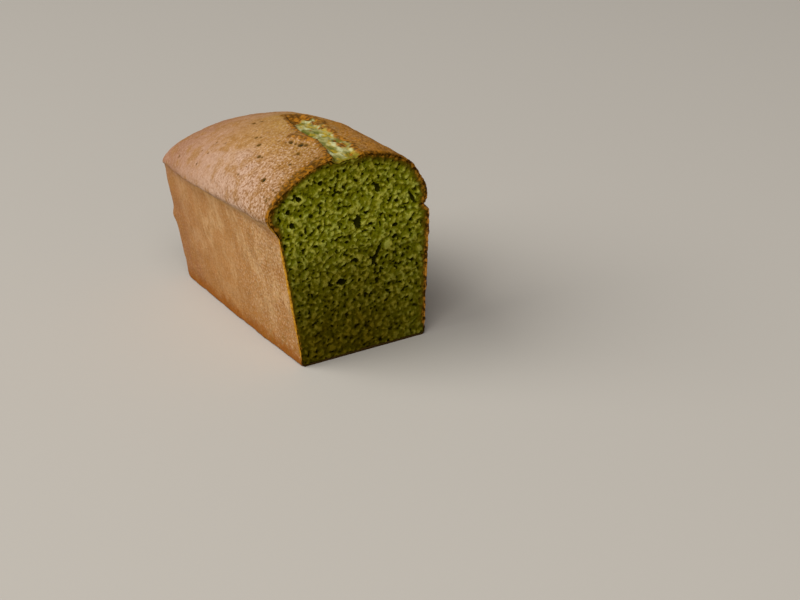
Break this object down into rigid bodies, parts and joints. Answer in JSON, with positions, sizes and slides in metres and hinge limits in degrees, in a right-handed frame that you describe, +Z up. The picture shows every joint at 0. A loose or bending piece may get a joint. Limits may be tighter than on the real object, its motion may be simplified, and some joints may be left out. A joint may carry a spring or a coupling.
{
  "type": "pound cake",
  "caption": "Loaf of green tea pound cake, cut across: browned crust, domed crown torn open along its length, and a cut face of green crumb. It stands on its flat base.",
  "frame": {"origin": "middle of the flat base, on the surface that the cake stands on", "axes": "+Z up; +Y along the loaf, from the cut face to the baked end; +X across it, to the right as the cut face is seen"},
  "size_m": [0.081, 0.1386, 0.096],
  "materials": {
    "crust": "golden brown baked crust, fine-grained, with a faint sheen",
    "crumb": "soft green cake crumb, full of small air holes, quite matt"
  },
  "bodies": {
    "root": {"pound_cake_loaf": "crust"}
  },
  "joints": []
}
